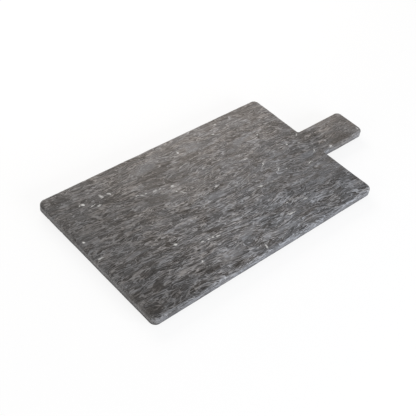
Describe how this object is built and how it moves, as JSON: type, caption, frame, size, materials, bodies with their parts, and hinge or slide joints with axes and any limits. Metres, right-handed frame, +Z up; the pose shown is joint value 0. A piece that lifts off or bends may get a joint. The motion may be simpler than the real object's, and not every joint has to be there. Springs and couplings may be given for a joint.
{
  "type": "paddle cutting board",
  "caption": "Flat grey marble paddle board: a rectangular slab with a short centred handle and pencil-rounded edges, lying on small stick-on rubber feet.",
  "frame": {"origin": "on the table under the feet, below the middle of the board's overall outline", "axes": "+X along the board from the blade's free end towards the handle, +Y to the left seen from above with the handle pointing away, +Z up"},
  "size_m": [0.4, 0.2, 0.0141],
  "materials": {
    "marble": "honed",
    "foot_rubber": "matte",
    "foam_tape": "matte"
  },
  "bodies": {
    "root": {"marble_slab": "marble", "foot_free_end_left": "foot_rubber", "foot_free_end_right": "foot_rubber", "foot_handle_end_left": "foot_rubber", "foot_handle_end_right": "foot_rubber", "tape_disc_free_end_left": "foam_tape", "tape_disc_free_end_right": "foam_tape", "tape_disc_handle_end_left": "foam_tape", "tape_disc_handle_end_right": "foam_tape"}
  },
  "joints": []
}
